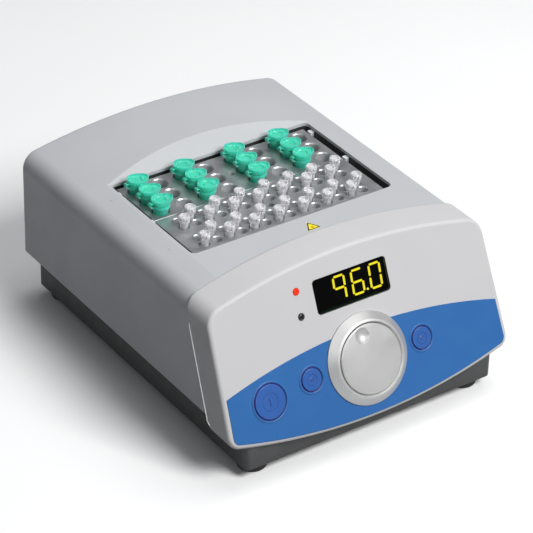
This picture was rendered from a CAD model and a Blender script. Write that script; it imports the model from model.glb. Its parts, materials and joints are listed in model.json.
import json
import math

import bmesh
import bpy
from mathutils import Matrix, Vector


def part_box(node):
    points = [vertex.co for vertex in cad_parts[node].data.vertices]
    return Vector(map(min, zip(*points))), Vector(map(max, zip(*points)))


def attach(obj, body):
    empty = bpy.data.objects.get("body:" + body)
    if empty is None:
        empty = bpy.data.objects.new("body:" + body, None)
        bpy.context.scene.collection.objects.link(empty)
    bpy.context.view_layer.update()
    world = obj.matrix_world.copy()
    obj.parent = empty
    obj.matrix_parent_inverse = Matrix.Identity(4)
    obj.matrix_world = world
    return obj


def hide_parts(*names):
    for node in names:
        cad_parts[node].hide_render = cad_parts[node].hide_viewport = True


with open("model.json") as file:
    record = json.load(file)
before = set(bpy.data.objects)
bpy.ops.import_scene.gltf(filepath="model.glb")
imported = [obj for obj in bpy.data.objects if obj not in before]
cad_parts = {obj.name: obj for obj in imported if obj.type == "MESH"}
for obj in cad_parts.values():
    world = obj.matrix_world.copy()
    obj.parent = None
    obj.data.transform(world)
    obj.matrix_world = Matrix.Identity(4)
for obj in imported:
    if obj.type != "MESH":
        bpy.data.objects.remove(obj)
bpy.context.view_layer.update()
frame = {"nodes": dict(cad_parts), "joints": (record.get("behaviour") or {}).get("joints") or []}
NODES = frame["nodes"]
JOINTS = {j["name"]: j for j in frame["joints"]}

# ---- sizes and places, in metres ---------------------------------------------
MM = 0.001
BLOCK_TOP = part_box("rear_block")[1].z
REAR_ROW_MID = (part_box("rear_block")[0].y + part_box("rear_block")[1].y) / 2
FRONT_ROW_MID = (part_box("front_block")[0].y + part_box("front_block")[1].y) / 2

# The control panel's own axes: N out of it, U to the right, V up the slope.
PANEL_MID = Vector(JOINTS["dial_turn"]["pos_m"])
PANEL_N = Vector(JOINTS["dial_turn"]["axis"]).normalized()
PANEL_U = Vector((1, 0, 0))
PANEL_V = PANEL_N.cross(PANEL_U)
DIAL_V = -7.7 * MM
PANEL = Matrix.Translation(PANEL_MID - PANEL_V * DIAL_V) @ Matrix((
    (PANEL_U.x, PANEL_V.x, PANEL_N.x, 0),
    (PANEL_U.y, PANEL_V.y, PANEL_N.y, 0),
    (PANEL_U.z, PANEL_V.z, PANEL_N.z, 0),
    (0, 0, 0, 1)))

# Hole patterns: the rear block's middle gap is wider, for its probe hole, and the
# front block's four rows leave a free row in the middle for the same reason.
BIG_COLS, BIG_ROWS = 8, 3
BIG_PITCH_X = 18.05 * MM
BIG_CENTRE_GAP = 22.4 * MM
BIG_PITCH_Y = 14.8 * MM
FILLED_COLS = (0, 2, 4, 6)
SMALL_COLS = 14
SMALL_ROWS = (-2, -1, 1, 2)
SMALL_PITCH_X = 9.66 * MM
SMALL_PITCH_Y = 8.0 * MM


def big_column_x(i):
    side = 1 if i >= BIG_COLS / 2 else -1
    middle = (BIG_COLS - 1) / 2
    return (i - middle) * BIG_PITCH_X + side * (BIG_CENTRE_GAP - BIG_PITCH_X) / 2


def big_row_y(j):
    return REAR_ROW_MID + (j - 1) * BIG_PITCH_Y


def small_column_x(k):
    return (k - (SMALL_COLS - 1) / 2) * SMALL_PITCH_X


def small_row_y(j):
    return FRONT_ROW_MID + SMALL_ROWS[j] * SMALL_PITCH_Y


# ---- camera and light ----------------------------------------------------------
CAMERA_AT = Vector((-0.84007, -1.18522, 0.99797))
AZIMUTH, ELEVATION, ROLL = (math.radians(a) for a in (35.5, 32.95, 1.735))
SENSOR_MM = 36.0
FOCAL_MM = 174.4
OBJECT_MID = Vector((0, 0, 0.06))


def make_camera():
    level = math.cos(ELEVATION)
    back = Vector((-math.sin(AZIMUTH) * level, -math.cos(AZIMUTH) * level, math.sin(ELEVATION)))
    right = Vector((math.cos(AZIMUTH), -math.sin(AZIMUTH), 0))
    up = back.cross(right)
    x_axis = right * math.cos(ROLL) + up * math.sin(ROLL)
    y_axis = up * math.cos(ROLL) - right * math.sin(ROLL)
    data = bpy.data.cameras.new("camera")
    data.sensor_width = SENSOR_MM
    data.lens = FOCAL_MM
    data.clip_end = 20
    camera = bpy.data.objects.new("camera", data)
    turn = Matrix((x_axis, y_axis, back)).transposed()
    camera.matrix_world = Matrix.Translation(CAMERA_AT) @ turn.to_4x4()
    bpy.context.scene.collection.objects.link(camera)
    bpy.context.scene.camera = camera


def soft_light(name, at, size, watts, sheen_only=False):
    """Square area light that faces the object; a sheen_only one shows in reflections alone."""
    data = bpy.data.lights.new(name, "AREA")
    data.size = size
    data.energy = watts
    light = bpy.data.objects.new(name, data)
    aim = OBJECT_MID - Vector(at)
    light.rotation_euler = aim.to_track_quat("-Z", "Y").to_euler()
    light.location = at
    light.visible_diffuse = not sheen_only
    bpy.context.scene.collection.objects.link(light)


def make_light():
    world = bpy.data.worlds.new("studio")
    world.use_nodes = True
    background = world.node_tree.nodes["Background"]
    background.inputs["Color"].default_value = (0.93, 0.96, 1.0, 1)
    background.inputs["Strength"].default_value = 0.20
    bpy.context.scene.world = world
    soft_light("key", (0.45, -1.45, 1.65), 0.9, 52)
    soft_light("top", (0.55, 0.35, 1.9), 1.4, 15)
    soft_light("left_sheen", (-1.35, -0.75, 1.25), 0.9, 13, sheen_only=True)
    bpy.context.scene.view_settings.view_transform = "Standard"


# ---- materials -----------------------------------------------------------------
# The colour sockets of a Mix node share their names, so they are taken by number.
MIX_FACTOR, MIX_A, MIX_B, MIX_RESULT = 0, 6, 7, 2


def grey(value):
    return (value, value, value, 1.0)


def scaled(colour, factor):
    return tuple(min(c * factor, 1.0) for c in colour[:3]) + (1.0,)


class Surface:
    """A principled material with object-space detail: tone, roughness, grain and soft edges."""

    def __init__(self, name, colour, rough, metal=0.0):
        self.mat = bpy.data.materials.new(name)
        self.mat.use_nodes = True
        self.nodes = self.mat.node_tree.nodes
        self.links = self.mat.node_tree.links
        self.shader = self.nodes["Principled BSDF"]
        self.shader.inputs["Metallic"].default_value = metal
        self.coords = self.nodes.new("ShaderNodeTexCoord").outputs["Object"]
        self.colour = colour
        self.rough = rough

    def noise(self, scale, detail, stretch=(1, 1, 1)):
        mapping = self.nodes.new("ShaderNodeMapping")
        mapping.inputs["Scale"].default_value = stretch
        self.links.new(self.coords, mapping.inputs["Vector"])
        noise = self.nodes.new("ShaderNodeTexNoise")
        noise.inputs["Scale"].default_value = scale
        noise.inputs["Detail"].default_value = detail
        self.links.new(mapping.outputs["Vector"], noise.inputs["Vector"])
        return noise.outputs["Fac"]

    def ramp(self, value, lo, hi, at=(0.35, 0.65)):
        ramp = self.nodes.new("ShaderNodeValToRGB")
        ramp.color_ramp.elements[0].position = at[0]
        ramp.color_ramp.elements[0].color = lo
        ramp.color_ramp.elements[1].position = at[1]
        ramp.color_ramp.elements[1].color = hi
        self.links.new(value, ramp.inputs["Fac"])
        return ramp.outputs["Color"]

    def tone(self, amount, scale=14.0):
        """Slow change of colour over the surface."""
        lo, hi = scaled(self.colour, 1 - amount), scaled(self.colour, 1 + amount)
        self.base = self.ramp(self.noise(scale, 4.0), lo, hi)
        self.links.new(self.base, self.shader.inputs["Base Color"])
        return self

    def gloss(self, spread, scale=70.0):
        """Roughness that wanders a little, as handled surfaces do."""
        lo, hi = max(self.rough - spread, 0.02), min(self.rough + spread, 1.0)
        value = self.ramp(self.noise(scale, 5.0), grey(lo), grey(hi))
        self.links.new(value, self.shader.inputs["Roughness"])
        return self

    def grain(self, size_mm, depth_mm, edge_mm=0.0, stretch=(1, 1, 1)):
        """Moulded, cast or brushed grain as bump, over edges softened by edge_mm."""
        bump = self.nodes.new("ShaderNodeBump")
        bump.inputs["Strength"].default_value = 1.0
        bump.inputs["Distance"].default_value = depth_mm * MM
        self.links.new(self.noise(1000.0 / size_mm, 2.0, stretch), bump.inputs["Height"])
        if edge_mm:
            bevel = self.nodes.new("ShaderNodeBevel")
            bevel.samples = 4
            bevel.inputs["Radius"].default_value = edge_mm * MM
            self.links.new(bevel.outputs["Normal"], bump.inputs["Normal"])
        self.links.new(bump.outputs["Normal"], self.shader.inputs["Normal"])
        return self

    def shade(self, reach_mm, deep, open_air):
        """Darker in recesses, as coated metal under an overhang is."""
        occlusion = self.nodes.new("ShaderNodeAmbientOcclusion")
        occlusion.inputs["Distance"].default_value = reach_mm * MM
        occlusion.samples = 8
        mix = self.nodes.new("ShaderNodeMix")
        mix.data_type = "RGBA"
        mix.blend_type = "MULTIPLY"
        mix.inputs[MIX_FACTOR].default_value = 1.0
        fade = self.ramp(occlusion.outputs["AO"], grey(deep), grey(1.0), (0.72, open_air))
        self.links.new(self.base, mix.inputs[MIX_A])
        self.links.new(fade, mix.inputs[MIX_B])
        self.links.new(mix.outputs[MIX_RESULT], self.shader.inputs["Base Color"])
        return self

    def pale_edges(self, colour):
        """Paler where the surface turns away, as the edges of milky plastic are."""
        facing = self.nodes.new("ShaderNodeLayerWeight")
        facing.inputs["Blend"].default_value = 0.35
        mix = self.nodes.new("ShaderNodeMix")
        mix.data_type = "RGBA"
        edge = self.ramp(facing.outputs["Facing"], grey(0.0), grey(1.0), (0.35, 0.95))
        self.links.new(edge, mix.inputs[MIX_FACTOR])
        self.links.new(self.base, mix.inputs[MIX_A])
        mix.inputs[MIX_B].default_value = colour
        self.links.new(mix.outputs[MIX_RESULT], self.shader.inputs["Base Color"])
        return self

    def walls(self, metal):
        """Less mirror-like on upright faces, so that bores are bright inside as bored metal is."""
        normal = self.nodes.new("ShaderNodeTexCoord").outputs["Normal"]
        split = self.nodes.new("ShaderNodeSeparateXYZ")
        self.links.new(normal, split.inputs["Vector"])
        full = self.shader.inputs["Metallic"].default_value
        value = self.ramp(split.outputs["Z"], grey(metal), grey(full), (0.35, 0.6))
        self.links.new(value, self.shader.inputs["Metallic"])
        return self

    def set(self, **values):
        """Values of the shader's own sockets; _ stands for a space."""
        for key, value in values.items():
            self.shader.inputs[key.replace("_", " ")].default_value = value
        return self


def build_materials():
    m = {}

    def add(key, surface):
        m[key] = surface.mat

    # Case, panel and label.
    add("cover", Surface("cover_plastic", (0.44, 0.45, 0.463), 0.48)
        .tone(0.02).gloss(0.05).grain(0.7, 0.010, 0.5).set(Specular_IOR_Level=0.35))
    add("bezel", Surface("bezel_plastic", (0.50, 0.496, 0.503), 0.5)
        .tone(0.015).gloss(0.05).grain(0.7, 0.010, 0.4).set(Specular_IOR_Level=0.3))
    add("base", Surface("powder_coat", (0.25, 0.254, 0.26), 0.5)
        .tone(0.04).shade(60.0, 0.12, 1.0).gloss(0.08).grain(1.1, 0.03, 0.3))
    add("overlay", Surface("blue_overlay", (0.021, 0.118, 0.343), 0.42)
        .tone(0.02).gloss(0.05).grain(0.5, 0.006, 0.3).set(Specular_IOR_Level=0.35))
    add("button", Surface("blue_button", (0.022, 0.098, 0.345), 0.38)
        .tone(0.02).gloss(0.05).grain(0.5, 0.006, 0.5).set(Specular_IOR_Level=0.4))
    add("mark", Surface("button_mark", (0.016, 0.066, 0.25), 0.4)
        .tone(0.03).gloss(0.05).grain(0.4, 0.005))
    add("gap", Surface("button_gap", (0.028, 0.006, 0.13), 0.6)
        .tone(0.1).gloss(0.05).grain(0.4, 0.005))
    add("seam", Surface("seam_edge", (0.92, 0.92, 0.93), 0.36, 0.9)
        .tone(0.02).gloss(0.05).grain(0.5, 0.004))
    add("dial", Surface("dial_lacquer", (0.47, 0.47, 0.465), 0.52, 0.70)
        .tone(0.02).gloss(0.05).grain(0.4, 0.006, 0.3))
    add("yellow", Surface("label_yellow", (0.90, 0.70, 0.01), 0.45)
        .tone(0.03).gloss(0.05).grain(0.4, 0.004))
    add("ink", Surface("label_ink", (0.01, 0.01, 0.01), 0.5)
        .tone(0.2).gloss(0.05).grain(0.4, 0.004))

    # Display and indicators.
    add("window", Surface("smoked_window", (0.003, 0.003, 0.003), 0.16)
        .tone(0.2).gloss(0.03, 40).grain(6.0, 0.01).set(Alpha=0.40, Specular_IOR_Level=0.08))
    add("module", Surface("display_face", (0.001, 0.001, 0.001), 0.6)
        .tone(0.3).gloss(0.05).grain(0.4, 0.01).set(Specular_IOR_Level=0.05))
    add("digit", Surface("lit_segment", (0.9, 0.8, 0.05), 0.4)
        .tone(0.03).gloss(0.05).grain(0.3, 0.005)
        .set(Emission_Color=(1.0, 0.86, 0.02, 1), Emission_Strength=2.2))
    add("led_on", Surface("lit_lens", (0.60, 0.015, 0.004), 0.5)
        .tone(0.05).gloss(0.04).grain(0.5, 0.004)
        .set(Emission_Color=(1.0, 0.07, 0.012, 1), Emission_Strength=0.35,
             Specular_IOR_Level=0.1))
    add("led_off", Surface("dark_lens", (0.012, 0.012, 0.012), 0.2)
        .tone(0.2).gloss(0.04).grain(0.5, 0.004))

    # Blocks and tubes.
    add("block", Surface("block_aluminium", (0.42, 0.425, 0.435), 0.36, 0.85)
        .tone(0.05, 30).gloss(0.06, 120).grain(0.35, 0.012, 0.35).walls(0.15))
    add("tube", Surface("green_polymer", (0.07, 0.82, 0.54), 0.32)
        .tone(0.05, 120).pale_edges((0.42, 0.93, 0.76, 1)).gloss(0.05, 300).grain(4.0, 0.01)
        .set(Transmission_Weight=0.3, IOR=1.33, Subsurface_Weight=0.8,
             Subsurface_Radius=(0.003, 0.006, 0.005), Subsurface_Scale=1.0, Coat_Weight=0.2))
    add("clear", Surface("clear_polymer", (0.88, 0.87, 0.90), 0.30)
        .tone(0.04, 150).pale_edges((1, 1, 1, 1)).gloss(0.06, 300).grain(2.0, 0.01)
        .set(Transmission_Weight=0.5, IOR=1.34, Subsurface_Weight=0.4,
             Subsurface_Radius=(0.003, 0.003, 0.003), Subsurface_Scale=1.0, Coat_Weight=0.3))
    add("liner", Surface("dark_liner", (0.03, 0.03, 0.032), 0.5)
        .tone(0.15, 40).gloss(0.1).grain(0.6, 0.015))
    add("lug", Surface("lug_plastic", (0.62, 0.63, 0.64), 0.4)
        .tone(0.03).gloss(0.05).grain(0.4, 0.006))
    add("rubber", Surface("foot_rubber", (0.016, 0.016, 0.017), 0.75)
        .tone(0.2, 60).gloss(0.08).grain(0.6, 0.03, 0.4))

    # Back and inside.
    add("plate", Surface("plate_aluminium", (0.55, 0.56, 0.57), 0.33, 1.0)
        .tone(0.05).gloss(0.06).grain(0.5, 0.01, stretch=(0.05, 1, 1)))
    add("steel", Surface("satin_steel", (0.52, 0.52, 0.53), 0.32, 1.0)
        .tone(0.05, 60).gloss(0.08, 200).grain(0.3, 0.006))
    add("board", Surface("solder_mask", (0.02, 0.16, 0.06), 0.35)
        .tone(0.12, 90).gloss(0.08).grain(1.5, 0.02))
    add("component", Surface("component_black", (0.02, 0.02, 0.021), 0.5)
        .tone(0.15, 50).gloss(0.08).grain(0.5, 0.012))
    add("inlet", Surface("inlet_black", (0.014, 0.014, 0.015), 0.42)
        .tone(0.15, 50).gloss(0.08).grain(0.5, 0.012, 0.3))
    add("brass", Surface("plated_brass", (0.72, 0.64, 0.46), 0.28, 1.0)
        .tone(0.05, 80).gloss(0.07).grain(0.3, 0.005))
    add("silicone", Surface("red_silicone", (0.36, 0.07, 0.03), 0.6)
        .tone(0.08).gloss(0.06).grain(0.8, 0.02))
    add("felt", Surface("insulation_felt", (0.70, 0.68, 0.62), 0.95)
        .tone(0.1, 60).gloss(0.03).grain(0.9, 0.15))

    add("floor", Surface("studio_floor", (0.86, 0.86, 0.86), 0.75)
        .tone(0.006, 3).gloss(0.04, 6).grain(1.5, 0.02))
    return m


NODE_MATERIALS = {
    "cover": ["upper_cover"],
    "bezel": ["front_bezel"],
    "base": ["base_tray", "rear_panel"],
    "overlay": ["panel_overlay"],
    "button": ["power_button", "left_button", "right_button"],
    "dial": ["dial_surround", "dial_disc"],
    "window": ["display_window"],
    "module": ["display_module"],
    "digit": ["display_digits"],
    "led_on": ["heating_indicator"],
    "led_off": ["ready_indicator"],
    "block": ["rear_block", "front_block"],
    "plate": ["heater_plate"],
    "tube": ["micro_tubes", "tube_lids_1", "tube_lids_2", "tube_lids_3", "tube_lids_4"],
    "clear": ["small_tubes"],
    "steel": ["foot_screws", "case_screws", "liner_screws", "panel_board_screws",
              "inlet_screws", "button_springs", "temperature_sensor"],
    "liner": ["well_liner"],
    "lug": ["locating_lugs"],
    "rubber": ["rubber_feet"],
    "board": ["panel_board", "control_board"],
    "component": ["encoder_body", "tact_switches", "thermal_cutout", "board_components"],
    "inlet": ["mains_inlet"],
    "brass": ["inlet_pins", "board_standoffs"],
    "silicone": ["heater_mat"],
    "felt": ["insulation_pad", "plate_posts"],
    "yellow": ["hot_surface_label"],
}


def dress_nodes():
    for key, names in NODE_MATERIALS.items():
        for name in names:
            data = NODES[name].data
            data.materials.clear()
            data.materials.append(MATERIALS[key])


# ---- mesh helpers --------------------------------------------------------------
LATHE_STEPS = 40
WELD = 1e-6


def piece(name, bm, material, body, smooth_deg=35.0):
    """A finished object from bmesh geometry, riding on a body."""
    bmesh.ops.recalc_face_normals(bm, faces=bm.faces)
    mesh = bpy.data.meshes.new(name)
    bm.to_mesh(mesh)
    bm.free()
    mesh.shade_smooth()
    mesh.set_sharp_from_angle(angle=math.radians(smooth_deg))
    mesh.materials.append(MATERIALS[material])
    obj = bpy.data.objects.new(name, mesh)
    bpy.context.scene.collection.objects.link(obj)
    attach(obj, body)
    return obj


def rings(bm, loops):
    """Skin over closed loops of equal length; a loop of one point closes the end."""
    rows = [[bm.verts.new(p) for p in loop] for loop in loops]
    for a, b in zip(rows, rows[1:]):
        n = max(len(a), len(b))
        for i in range(n):
            k = (i + 1) % n
            if len(a) == 1:
                bm.faces.new((a[0], b[i], b[k]))
            elif len(b) == 1:
                bm.faces.new((a[i], b[0], a[k]))
            else:
                bm.faces.new((a[i], b[i], b[k], a[k]))


def circle(r, z, steps=LATHE_STEPS):
    """Loop of a lathed profile, in millimetres; r of 0 is a single point."""
    if r == 0:
        return [Vector((0, 0, z * MM))]
    angles = [2 * math.pi * i / steps for i in range(steps)]
    return [Vector((r * math.cos(a), r * math.sin(a), z)) * MM for a in angles]


def lathe(profile, steps=LATHE_STEPS):
    bm = bmesh.new()
    rings(bm, [circle(r, z, steps) for r, z in profile])
    return bm


def copies(template, places):
    """One bmesh with the template at each place, and the template freed."""
    mesh = bpy.data.meshes.new("template")
    template.to_mesh(mesh)
    template.free()
    out = bmesh.new()
    for place in places:
        first = len(out.verts)
        out.from_mesh(mesh)
        out.verts.ensure_lookup_table()
        bmesh.ops.transform(out, matrix=place, verts=out.verts[first:])
    bpy.data.meshes.remove(mesh)
    return out


def merged(parts):
    """Several bmeshes as one."""
    out = bmesh.new()
    for part in parts:
        mesh = bpy.data.meshes.new("part")
        part.to_mesh(mesh)
        part.free()
        out.from_mesh(mesh)
        bpy.data.meshes.remove(mesh)
    return out


def bar(centre, size, round_mm):
    """Rounded bar, sizes in millimetres."""
    bm = bmesh.new()
    bmesh.ops.create_cube(bm, size=1.0)
    bmesh.ops.scale(bm, vec=Vector(size) * MM, verts=bm.verts)
    bmesh.ops.bevel(bm, geom=bm.edges[:], offset=round_mm * MM, segments=2,
                    affect="EDGES", profile=0.5)
    bmesh.ops.translate(bm, vec=Vector(centre) * MM, verts=bm.verts)
    return bm


# ---- tubes ---------------------------------------------------------------------
# Profiles are in millimetres from the block's top face, or from RIM for the lids.
RIM = 7.0
LID_R = 6.45
TAB_R, TAB_X = 4.1, 4.8
LID_PLUG = (
    (0, -2.1), (3.3, -2.2), (3.9, -1.9), (4.15, -0.9), (4.1, 0.12), (5.7, 0.12),
    (5.75, -0.6), (5.95, -0.8), (6.2, -0.8), (6.4, -0.6), (6.4, -0.1))
LID_EDGE = (  # share of the full outline, height
    (0.99, 0.15), (1.0, 0.4), (1.0, 2.4), (0.988, 2.7), (0.96, 2.85), (0.925, 2.8),
    (0.90, 2.55), (0.885, 2.0), (0.86, 1.85))
LID_DISH = (
    (4.9, 1.8), (4.6, 2.0), (4.2, 2.0), (3.9, 1.7), (3.6, 1.2), (1.8, 1.15), (0, 1.2))
LID_STRAP_AT, LID_STRAP_SIZE = (-7.2, 0, RIM + 0.65), (2.6, 3.4, 0.55)
BODY_OUTSIDE = (
    (0, -37.0), (0.9, -36.9), (1.6, -36.3), (2.0, -35.0), (5.0, -20.4), (5.15, -19.4),
    (5.15, 2.4), (5.3, 2.8), (6.0, 3.1), (6.3, 3.5), (6.35, 4.0), (6.35, 5.4),
    (6.2, 5.8), (5.9, 5.95), (5.5, 6.0), (5.5, RIM - 0.2), (5.3, RIM))
BODY_INSIDE = (
    (4.8, RIM), (4.6, RIM - 0.2), (4.4, 4.0), (4.4, -18.5), (1.2, -34.6),
    (0.6, -35.4), (0, -35.6))
BODY_STRAP = (
    (-8.35, 7.45), (-8.62, 7.0), (-8.62, 6.3), (-8.25, 5.5), (-7.4, 5.0), (-6.1, 4.8))
BODY_STRAP_W, BODY_STRAP_THICK = 3.4, 0.5

SMALL_STEPS = 48
FLUTES = 12
SMALL_PROFILE = (  # radius, height, depth of the grip flutes
    (0, -15.6, 0), (0.7, -15.5, 0), (1.2, -15.0, 0), (2.8, -3.8, 0), (2.85, -3.4, 0),
    (2.85, 3.0, 0), (3.0, 3.3, 0), (3.5, 3.45, 0), (3.7, 3.7, 0.08), (3.7, 5.1, 0.08),
    (3.5, 5.4, 0), (3.3, 5.6, 0), (3.35, 5.8, 0), (3.75, 6.05, 0.14),
    (3.85, 6.4, 0.16), (3.8, 7.7, 0.16), (3.55, 8.15, 0.08), (3.2, 8.4, 0),
    (2.85, 8.42, 0), (2.6, 8.2, 0), (2.45, 7.6, 0), (2.1, 7.35, 0), (1.0, 7.45, 0),
    (0.45, 7.7, 0), (0, 7.75, 0))
SMALL_TAB_AT, SMALL_TAB_SIZE = (0, -4.2, 7.1), (2.2, 1.8, 1.0)


def lid_outline(scale, z):
    """Lid seen from above: a disc that runs out to a round thumb tab towards +X."""
    loop = []
    for i in range(LATHE_STEPS):
        a = 2 * math.pi * i / LATHE_STEPS
        on_tab = TAB_X * math.cos(a) + TAB_R > LID_R
        centre, r = (TAB_X, TAB_R) if on_tab else (0.0, LID_R)
        x, y = centre + r * math.cos(a), r * math.sin(a)
        loop.append(Vector((x * scale, y * scale, z)) * MM)
    return loop


def tube_lid():
    """Snap lid: plug, skirt, and a shallow tray whose raised rim runs around disc and tab."""
    loops = [circle(r, RIM + z) for r, z in LID_PLUG]
    loops += [lid_outline(share, RIM + z) for share, z in LID_EDGE]
    loops += [circle(r, RIM + z) for r, z in LID_DISH]
    lid = bmesh.new()
    rings(lid, loops)
    return merged([lid, bar(LID_STRAP_AT, LID_STRAP_SIZE, 0.15)])


def micro_tube():
    """Open tube with the fixed half of its moulded hinge."""
    body = lathe(BODY_OUTSIDE + BODY_INSIDE)
    return merged([body, strip(BODY_STRAP, BODY_STRAP_W, BODY_STRAP_THICK)])


def strip(path, width, thick):
    """Bent strip along a path in the XZ plane, in millimetres."""
    bm = bmesh.new()
    loops = []
    for i, (x, z) in enumerate(path):
        x0, z0 = path[max(i - 1, 0)]
        x1, z1 = path[min(i + 1, len(path) - 1)]
        along = Vector((x1 - x0, 0, z1 - z0)).normalized()
        off = Vector((-along.z, 0, along.x)) * (thick / 2)
        side = Vector((0, width / 2, 0))
        mid = Vector((x, 0, z))
        corners = (off + side, off - side, -off - side, -off + side)
        loops.append([(mid + corner) * MM for corner in corners])
    rings(bm, loops)
    for row in (bm.verts[:4], bm.verts[-4:]):
        bm.faces.new(row)
    return bm


def fluted(r, z, depth):
    """Circle with fine grip flutes, in millimetres."""
    loop = []
    for i in range(SMALL_STEPS):
        a = 2 * math.pi * i / SMALL_STEPS
        grip = r + depth * math.cos(FLUTES * a)
        loop.append(Vector((grip * math.cos(a), grip * math.sin(a), z)) * MM)
    return loop


def small_tube():
    """Small tube with its cap closed: a fluted grip ring around a dished top."""
    body = bmesh.new()
    rings(body, [fluted(r, z, depth) if r else circle(0, z) for r, z, depth in SMALL_PROFILE])
    return merged([body, bar(SMALL_TAB_AT, SMALL_TAB_SIZE, 0.3)])


def on_block(x, y):
    return Matrix.Translation((x, y, BLOCK_TOP))


def make_tubes():
    columns = [[on_block(big_column_x(i), big_row_y(j)) for j in range(BIG_ROWS)]
               for i in FILLED_COLS]
    places = [place for column in columns for place in column]
    tubes = piece("micro_tube_set", copies(micro_tube(), places), "tube", "micro_tubes")
    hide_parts("micro_tubes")
    for number, column in enumerate(columns, 1):
        body = f"tube_lids_{number}"
        lids = piece(f"lid_column_{number}", copies(tube_lid(), column), "tube", body)
        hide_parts(body)
    places = [on_block(small_column_x(k), small_row_y(j)) for k in range(SMALL_COLS)
              for j in range(len(SMALL_ROWS)) if (k + j) % 2 == 0]
    clear = piece("small_tube_set", copies(small_tube(), places), "clear", "small_tubes")
    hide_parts("small_tubes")


# ---- control panel -------------------------------------------------------------
ROUND_DEG = 60.0

# Digits: millimetres on the panel; the lit segments of each, and its middle.
DIGITS = (("abcfg", -7.0), ("acdefg", 7.0), ("abcdef", 21.0))
DIGIT_V = 41.2
DIGIT_W, DIGIT_H, STROKE = 9.5, 16.9, 1.3
SLANT = math.tan(math.radians(2.5))
SEGMENT_GAP = 1.15
SEGMENT_TIP = STROKE * 0.3
SEGMENT_W = (-3.4, -3.0)
DOT_AT, DOT_R, DOT_STEPS = (13.4, 34.3, 0), 0.75, 20


def segment(centre, along, length, bm):
    """One pointed bar of a digit, in panel coordinates; along is (1, 0) or (0, 1)."""
    half, side = length / 2, STROKE / 2
    shoulder = half - SEGMENT_TIP
    across = (along[1], along[0])
    outline = [(-half, 0), (-shoulder, side), (shoulder, side),
               (half, 0), (shoulder, -side), (-shoulder, -side)]
    lower, upper = [], []
    for s, t in outline:
        u = centre[0] + s * along[0] + t * across[0]
        v = centre[1] + s * along[1] + t * across[1]
        u += (v - DIGIT_V) * SLANT
        lower.append(bm.verts.new(PANEL @ (Vector((u, v, SEGMENT_W[0])) * MM)))
        upper.append(bm.verts.new(PANEL @ (Vector((u, v, SEGMENT_W[1])) * MM)))
    bm.faces.new(upper)
    bm.faces.new(lower[::-1])
    for i in range(len(outline)):
        k = (i + 1) % len(outline)
        bm.faces.new((lower[i], lower[k], upper[k], upper[i]))


def panel_place(u, v, w):
    return PANEL @ Matrix.Translation(Vector((u, v, w)) * MM)


def make_digits():
    bm = bmesh.new()
    half_w, half_h = (DIGIT_W - STROKE) / 2, (DIGIT_H - STROKE) / 2
    across = {"a": half_h, "g": 0.0, "d": -half_h}
    for lit, u in DIGITS:
        for name in lit:
            if name in across:
                at, along, length = (u, DIGIT_V + across[name]), (1, 0), 2 * half_w
            else:
                side = 1 if name in "bc" else -1
                level = half_h / 2 if name in "bf" else -half_h / 2
                at, along, length = (u + side * half_w, DIGIT_V + level), (0, 1), half_h
            segment(at, along, length - SEGMENT_GAP, bm)
    low, high = SEGMENT_W
    dot = lathe([(0, low), (DOT_R, low), (DOT_R, high), (0, high)], DOT_STEPS)
    bmesh.ops.transform(dot, matrix=panel_place(*DOT_AT), verts=dot.verts)
    digits = piece("lit_digits", merged([bm, dot]), "digit", "case")
    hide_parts("display_digits")


# Buttons: node, place on the panel and radius. The rest is heights above the panel's
# face and widths of the rings, in millimetres; HOOP_TOP is the share of a ring's width
# that its top keeps, and MARK_SHARE the share of a button's radius that its mark takes.
BUTTONS = (("power_button", -76.4, -11.9, 11.2),
           ("left_button", -43.6, -8.0, 7.3),
           ("right_button", 43.6, -8.0, 7.3))
HOOP_STEPS = 48
HOOP_TOP = 0.6
MARK_SHARE = 0.52
MARK_RING = {"w": 0.78, "thick": 0.22, "wide": 0.4}
MARK_DOT = {"w": 0.74, "r": 0.8, "thick": 0.2, "wide": 0.75}
MARK_BAR_W, MARK_BAR_SIZE = 0.86, (1.0, 5.4, 0.5)
RIM_OUT, OVERLAY_RIM = 1.65, {"w": 0.36, "thick": 0.45, "wide": 0.75}
GAP_OUT, GAP_RING = 0.42, {"w": -0.1, "thick": 0.02, "wide": 0.38}


def hoop(u, v, w, r, thick, wide):
    """Low raised ring on the panel."""
    top, narrow = w + thick, wide * HOOP_TOP
    bm = lathe([(r - wide, w), (r - narrow, top), (r + narrow, top), (r + wide, w),
                (r - wide, w)], HOOP_STEPS)
    bmesh.ops.remove_doubles(bm, verts=bm.verts, dist=WELD)
    bmesh.ops.transform(bm, matrix=panel_place(u, v, 0), verts=bm.verts)
    return bm


def panel_bar(u, v, w, size, round_mm):
    bm = bar((u, v, w), size, round_mm)
    bmesh.ops.transform(bm, matrix=PANEL, verts=bm.verts)
    return bm


def make_button_details():
    """Plain marks on the buttons, low rims around them and the dark gap between."""
    for body, u, v, r in BUTTONS:
        ring = hoop(u, v, r=r * MARK_SHARE, **MARK_RING)
        if body == "power_button":
            middle = panel_bar(u, v, MARK_BAR_W, MARK_BAR_SIZE, 0.2)
        else:
            middle = hoop(u, v, **MARK_DOT)
        piece(f"{body}_mark", merged([ring, middle]), "mark", body)
    rims = [hoop(u, v, r=r + RIM_OUT, **OVERLAY_RIM) for _, u, v, r in BUTTONS]
    piece("overlay_rims", merged(rims), "overlay", "case", ROUND_DEG)
    gaps = [hoop(u, v, r=r + GAP_OUT, **GAP_RING) for _, u, v, r in BUTTONS]
    piece("button_gap_rings", merged(gaps), "gap", "case")


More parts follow.
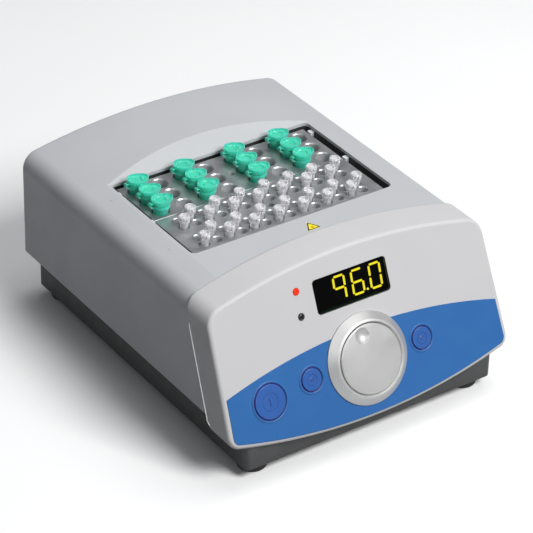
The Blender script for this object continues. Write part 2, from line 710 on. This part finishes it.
# The seam runs down behind the panel at depth SEAM_W, then forward at the foot.
SEAM_W = -22.0
SEAM_TOP_V, SEAM_STEP_V, SEAM_POINTS = 48, 4.4, 15
SEAM_FOOT = ((-0.6, -2.0), (-2.0, -3.6), (-4.2, -4.4), (-8.0, -4.8))
SEAM_R, SEAM_END = 0.42, 0.4
SEAM_SIDES = 8
# The bezel's drafted side as (half width, height), and its rounded lower corner.
SIDE_TOP, SIDE_LOW = (107.6, 108.8), (111.0, 29.0)
CORNER_Z, CORNER_R, CORNER_REACH = 37.0, 8, 7.0


def side_x(z):
    """Half width of the bezel's side at a height, in millimetres."""
    part = (z - SIDE_LOW[1]) / (SIDE_TOP[1] - SIDE_LOW[1])
    below = min(max(CORNER_Z - z, 0.0), CORNER_REACH)
    inset = CORNER_R - math.sqrt(CORNER_R ** 2 - below ** 2)
    return SIDE_LOW[0] + part * (SIDE_TOP[0] - SIDE_LOW[0]) - inset


def seam_path():
    """The seam in the YZ plane, in millimetres."""
    path = []
    for i in range(SEAM_POINTS):
        at = PANEL @ (Vector((0, SEAM_TOP_V - SEAM_STEP_V * i, SEAM_W)) * MM)
        path.append((at.y / MM, at.z / MM))
    y, z = path[-1]
    return path + [(y + dy, z + dz) for dy, dz in SEAM_FOOT]


def make_seams():
    """Thin bright edge where bezel and cover meet, down both sides and forward at the foot."""
    path = seam_path()
    last = len(path) - 1
    angles = [2 * math.pi * k / SEAM_SIDES for k in range(SEAM_SIDES)]
    tubes = []
    for side in (-1, 1):
        loops = []
        for i, (y, z) in enumerate(path):
            r = SEAM_R * (SEAM_END if i in (0, last) else 1.0)
            y0, z0 = path[max(i - 1, 0)]
            y1, z1 = path[min(i + 1, last)]
            out = Vector((r, 0, 0))
            across = Vector((0, z0 - z1, y1 - y0)).normalized() * r
            mid = Vector((side * side_x(z), y, z))
            loops.append([(mid + math.cos(a) * out + math.sin(a) * across) * MM for a in angles])
        bm = bmesh.new()
        rings(bm, loops)
        bm.verts.ensure_lookup_table()
        bm.faces.new(bm.verts[:SEAM_SIDES])
        bm.faces.new(bm.verts[-SEAM_SIDES:])
        tubes.append(bm)
    piece("seam_edges", merged(tubes), "seam", "case", ROUND_DEG)


# ---- warning label -------------------------------------------------------------
# LABEL_CENTRE and LABEL_REACH are shares of the label's depth; a bar is width and place
# along Y in millimetres.
LABEL_CENTRE, LABEL_REACH = 0.36, 0.70
LABEL_RIM_WIDE, LABEL_RIM_THICK = 1.5 * MM, 0.04 * MM
LABEL_CORNER, LABEL_INNER_CORNER = 0.5 * MM, 0.3 * MM
LABEL_BARS = ((2.6, -1.1), (1.6, 0.1))
LABEL_BAR_TALL, LABEL_BAR_THICK = 0.5, 0.08


def triangle(mid, size, z, corner):
    """Triangle with rounded corners, one of them towards +Y."""
    loop = []
    for k in range(3):
        a = math.radians(90 + 120 * k)
        tip = Vector((math.cos(a), math.sin(a), 0)) * (size - 2 * corner)
        for step in (-60, -30, 0, 30, 60):
            b = a + math.radians(step)
            turn = Vector((math.cos(b), math.sin(b), 0)) * corner
            loop.append(mid + tip + turn + Vector((0, 0, z)))
    return loop


def make_label():
    """Dark edge and two plain bars on the yellow triangle, as on any caution sign."""
    low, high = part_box("hot_surface_label")
    depth = high.y - low.y
    mid = Vector(((low.x + high.x) / 2, low.y + depth * LABEL_CENTRE, high.z))
    outer = (depth * LABEL_REACH, LABEL_CORNER)
    inner = (outer[0] - LABEL_RIM_WIDE, LABEL_INNER_CORNER)
    heights = ((outer, 0.0), (outer, LABEL_RIM_THICK), (inner, LABEL_RIM_THICK), (inner, 0.0),
               (outer, 0.0))
    rim = bmesh.new()
    rings(rim, [triangle(mid, size, z, corner) for (size, corner), z in heights])
    bmesh.ops.remove_doubles(rim, verts=rim.verts, dist=WELD)
    bars = []
    for wide, y in LABEL_BARS:
        bm = bar((0, 0, 0), (wide, LABEL_BAR_TALL, LABEL_BAR_THICK), 0.02)
        bmesh.ops.translate(bm, vec=mid + Vector((0, y * MM, 0)), verts=bm.verts)
        bars.append(bm)
    piece("label_print", merged([rim] + bars), "ink", "case")


# ---- stage ---------------------------------------------------------------------
FLOOR_CELLS, FLOOR_HALF = 12, 4.0


def make_floor():
    """White ground that shows, casts no diffuse light, and isn't part of the object."""
    bm = bmesh.new()
    bmesh.ops.create_grid(bm, x_segments=FLOOR_CELLS, y_segments=FLOOR_CELLS, size=FLOOR_HALF)
    mesh = bpy.data.meshes.new("floor")
    bm.to_mesh(mesh)
    bm.free()
    mesh.materials.append(MATERIALS["floor"])
    floor = bpy.data.objects.new("floor", mesh)
    bpy.context.scene.collection.objects.link(floor)
    floor.visible_diffuse = False


MATERIALS = build_materials()
make_camera()
make_light()
dress_nodes()
make_tubes()
make_digits()
make_button_details()
make_seams()
make_label()
make_floor()
